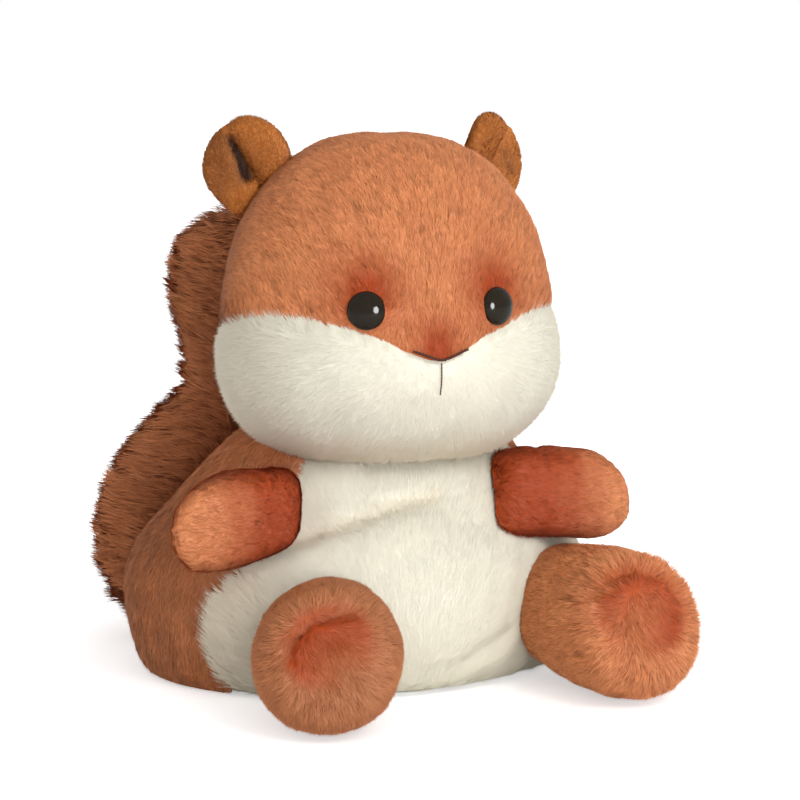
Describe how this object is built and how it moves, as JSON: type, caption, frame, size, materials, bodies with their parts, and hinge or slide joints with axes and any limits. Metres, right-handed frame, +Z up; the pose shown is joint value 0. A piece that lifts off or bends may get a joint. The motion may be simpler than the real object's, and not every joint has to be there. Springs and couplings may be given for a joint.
{
  "type": "sitting plush squirrel",
  "caption": "Palm-size bean-filled plush squirrel that sits on its flat base, with a rust coat, cream muzzle and belly, folded ears and a bushy tail.",
  "frame": {"origin": "on the flat underside of the base panel, below the middle of the body", "axes": "+Z up, -Y the way the animal faces, so its own right side is at -X"},
  "size_m": [0.1115, 0.1338, 0.1217],
  "materials": {
    "plush_rust": "short orange-brown plush, pile laid down the coat",
    "plush_cream": "short cream plush",
    "plush_long_brown": "long brown plush",
    "short_pile_gold": "very short golden-brown pile",
    "stuffing_fibre": "white polyester fibre",
    "bean_pellets": "small pale plastic pellets in a bag",
    "black_plastic": "polished black",
    "washer_plastic": "white moulded plastic",
    "dark_thread": "dark brown embroidery thread"
  },
  "bodies": {
    "root": {"head_crown": "plush_rust", "muzzle_band": "plush_cream", "head_stuffing": "stuffing_fibre", "eye_right": "black_plastic", "eye_left": "black_plastic", "eye_washer_right": "washer_plastic", "eye_washer_left": "washer_plastic", "nose_stitching": "dark_thread", "mouth_stitch": "dark_thread", "ear_right": "short_pile_gold", "ear_left": "short_pile_gold", "body_back": "plush_rust", "belly_panel": "plush_cream", "base_panel": "plush_cream", "body_filling": "bean_pellets", "arm_right": "plush_rust", "arm_left": "plush_rust", "arm_filling_right": "stuffing_fibre", "arm_filling_left": "stuffing_fibre", "foot_right": "plush_rust", "foot_left": "plush_rust", "foot_filling_right": "bean_pellets", "foot_filling_left": "bean_pellets", "tail": "plush_long_brown", "tail_filling": "stuffing_fibre"}
  },
  "joints": []
}
